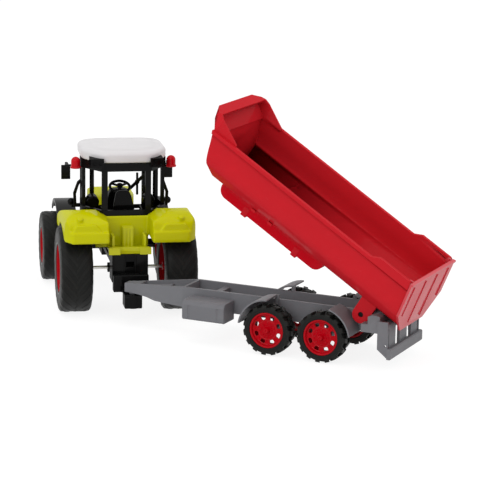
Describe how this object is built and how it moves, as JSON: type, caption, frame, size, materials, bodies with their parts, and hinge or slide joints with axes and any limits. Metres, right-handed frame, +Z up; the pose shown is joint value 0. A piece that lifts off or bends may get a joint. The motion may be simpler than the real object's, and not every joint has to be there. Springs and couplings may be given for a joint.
{
  "type": "toy tractor with tipping trailer",
  "caption": "Toy farm tractor with an open-windowed cab and rolling wheels, towing a tandem-axle trailer whose open body tips on a pin and empties through a hinged tailgate.",
  "frame": {"origin": "centre of the whole toy's outline, on the floor", "axes": "+X the way the tractor points, +Y its left, +Z up"},
  "size_m": [0.3972, 0.3118, 0.1994],
  "materials": {
    "lime": "glossy lime moulding",
    "black": "black moulding, slight sheen",
    "dark_grey": "dark grey moulding",
    "grey": "grey moulding, satin",
    "white": "white moulding",
    "body_red": "glossy red moulding",
    "gate_red": "glossy red moulding",
    "wheel_red": "glossy red moulding",
    "beacon_red": "glossy red moulding",
    "lamp_lens": "clear glossy moulding",
    "tyre": "soft black moulding",
    "steel": "drawn wire"
  },
  "bodies": {
    "tractor": {"chassis": "black", "hitch_block": "black", "rear_fenders": "lime", "rear_linkage": "lime", "bonnet": "lime", "grille": "black", "headlamps": "lamp_lens", "front_weight": "black", "front_fender_left": "dark_grey", "front_fender_right": "dark_grey", "cab_tub": "black", "cab_frame": "black", "seat": "black", "dashboard": "black", "steering_wheel": "black", "wiper": "black", "roof": "white", "work_lamps": "black", "beacons": "beacon_red", "mirrors": "black", "handrails": "black", "side_lamps": "black", "tractor_screws": "steel"},
    "rear_wheels": {"rear_axle": "steel", "rear_rim_left": "wheel_red", "rear_rim_right": "wheel_red", "rear_tyre_left": "tyre", "rear_tyre_right": "tyre"},
    "front_wheels": {"front_axle": "steel", "front_rim_left": "wheel_red", "front_rim_right": "wheel_red", "front_tyre_left": "tyre", "front_tyre_right": "tyre"},
    "trailer_front_wheels": {"trailer_front_axle": "steel", "trailer_rim_fl": "wheel_red", "trailer_rim_fr": "wheel_red", "trailer_tyre_fl": "tyre", "trailer_tyre_fr": "tyre"},
    "trailer_rear_wheels": {"trailer_rear_axle": "steel", "trailer_rim_rl": "wheel_red", "trailer_rim_rr": "wheel_red", "trailer_tyre_rl": "tyre", "trailer_tyre_rr": "tyre"},
    "trailer": {"trailer_frame": "grey", "toolboxes": "grey", "front_guards": "grey", "rear_guards": "grey", "rear_bumper": "grey", "trailer_screws": "steel", "tip_pin": "black"},
    "tipper": {"tipper_body": "body_red", "tipper_rail": "body_red"},
    "tailgate": {"tailgate": "gate_red", "gate_pins": "gate_red"}
  },
  "joints": [
    {"name": "rear_wheels_roll", "type": "hinge", "parent": "tractor", "child": "rear_wheels", "pos_m": [0.04562, 0.09331, 0.0375], "axis": [0, 1, 0], "continuous": true},
    {"name": "front_wheels_roll", "type": "hinge", "parent": "tractor", "child": "front_wheels", "pos_m": [0.16362, 0.09331, 0.031], "axis": [0, 1, 0], "continuous": true},
    {"name": "hitch_swivel", "type": "hinge", "parent": "tractor", "child": "trailer", "pos_m": [-0.00638, 0.09331, 0.02], "axis": [0, 0, 1], "range_deg": [-112, 1]},
    {"name": "trailer_front_wheels_roll", "type": "hinge", "parent": "trailer", "child": "trailer_front_wheels", "pos_m": [-0.08585, -0.02232, 0.021], "axis": [-0.8241, 0.5664, 0], "continuous": true},
    {"name": "trailer_rear_wheels_roll", "type": "hinge", "parent": "trailer", "child": "trailer_rear_wheels", "pos_m": [-0.11258, -0.06121, 0.021], "axis": [-0.8241, 0.5664, 0], "continuous": true},
    {"name": "body_tip", "type": "hinge", "parent": "trailer", "child": "tipper", "pos_m": [-0.12889, -0.08495, 0.0406], "axis": [0.8241, -0.5664, 0], "range_deg": [-32.5, 0]},
    {"name": "tailgate_swing", "type": "hinge", "parent": "tipper", "child": "tailgate", "pos_m": [-0.15606, -0.12448, 0.0768], "axis": [-0.8241, 0.5664, 0], "range_deg": [0, 80]}
  ]
}
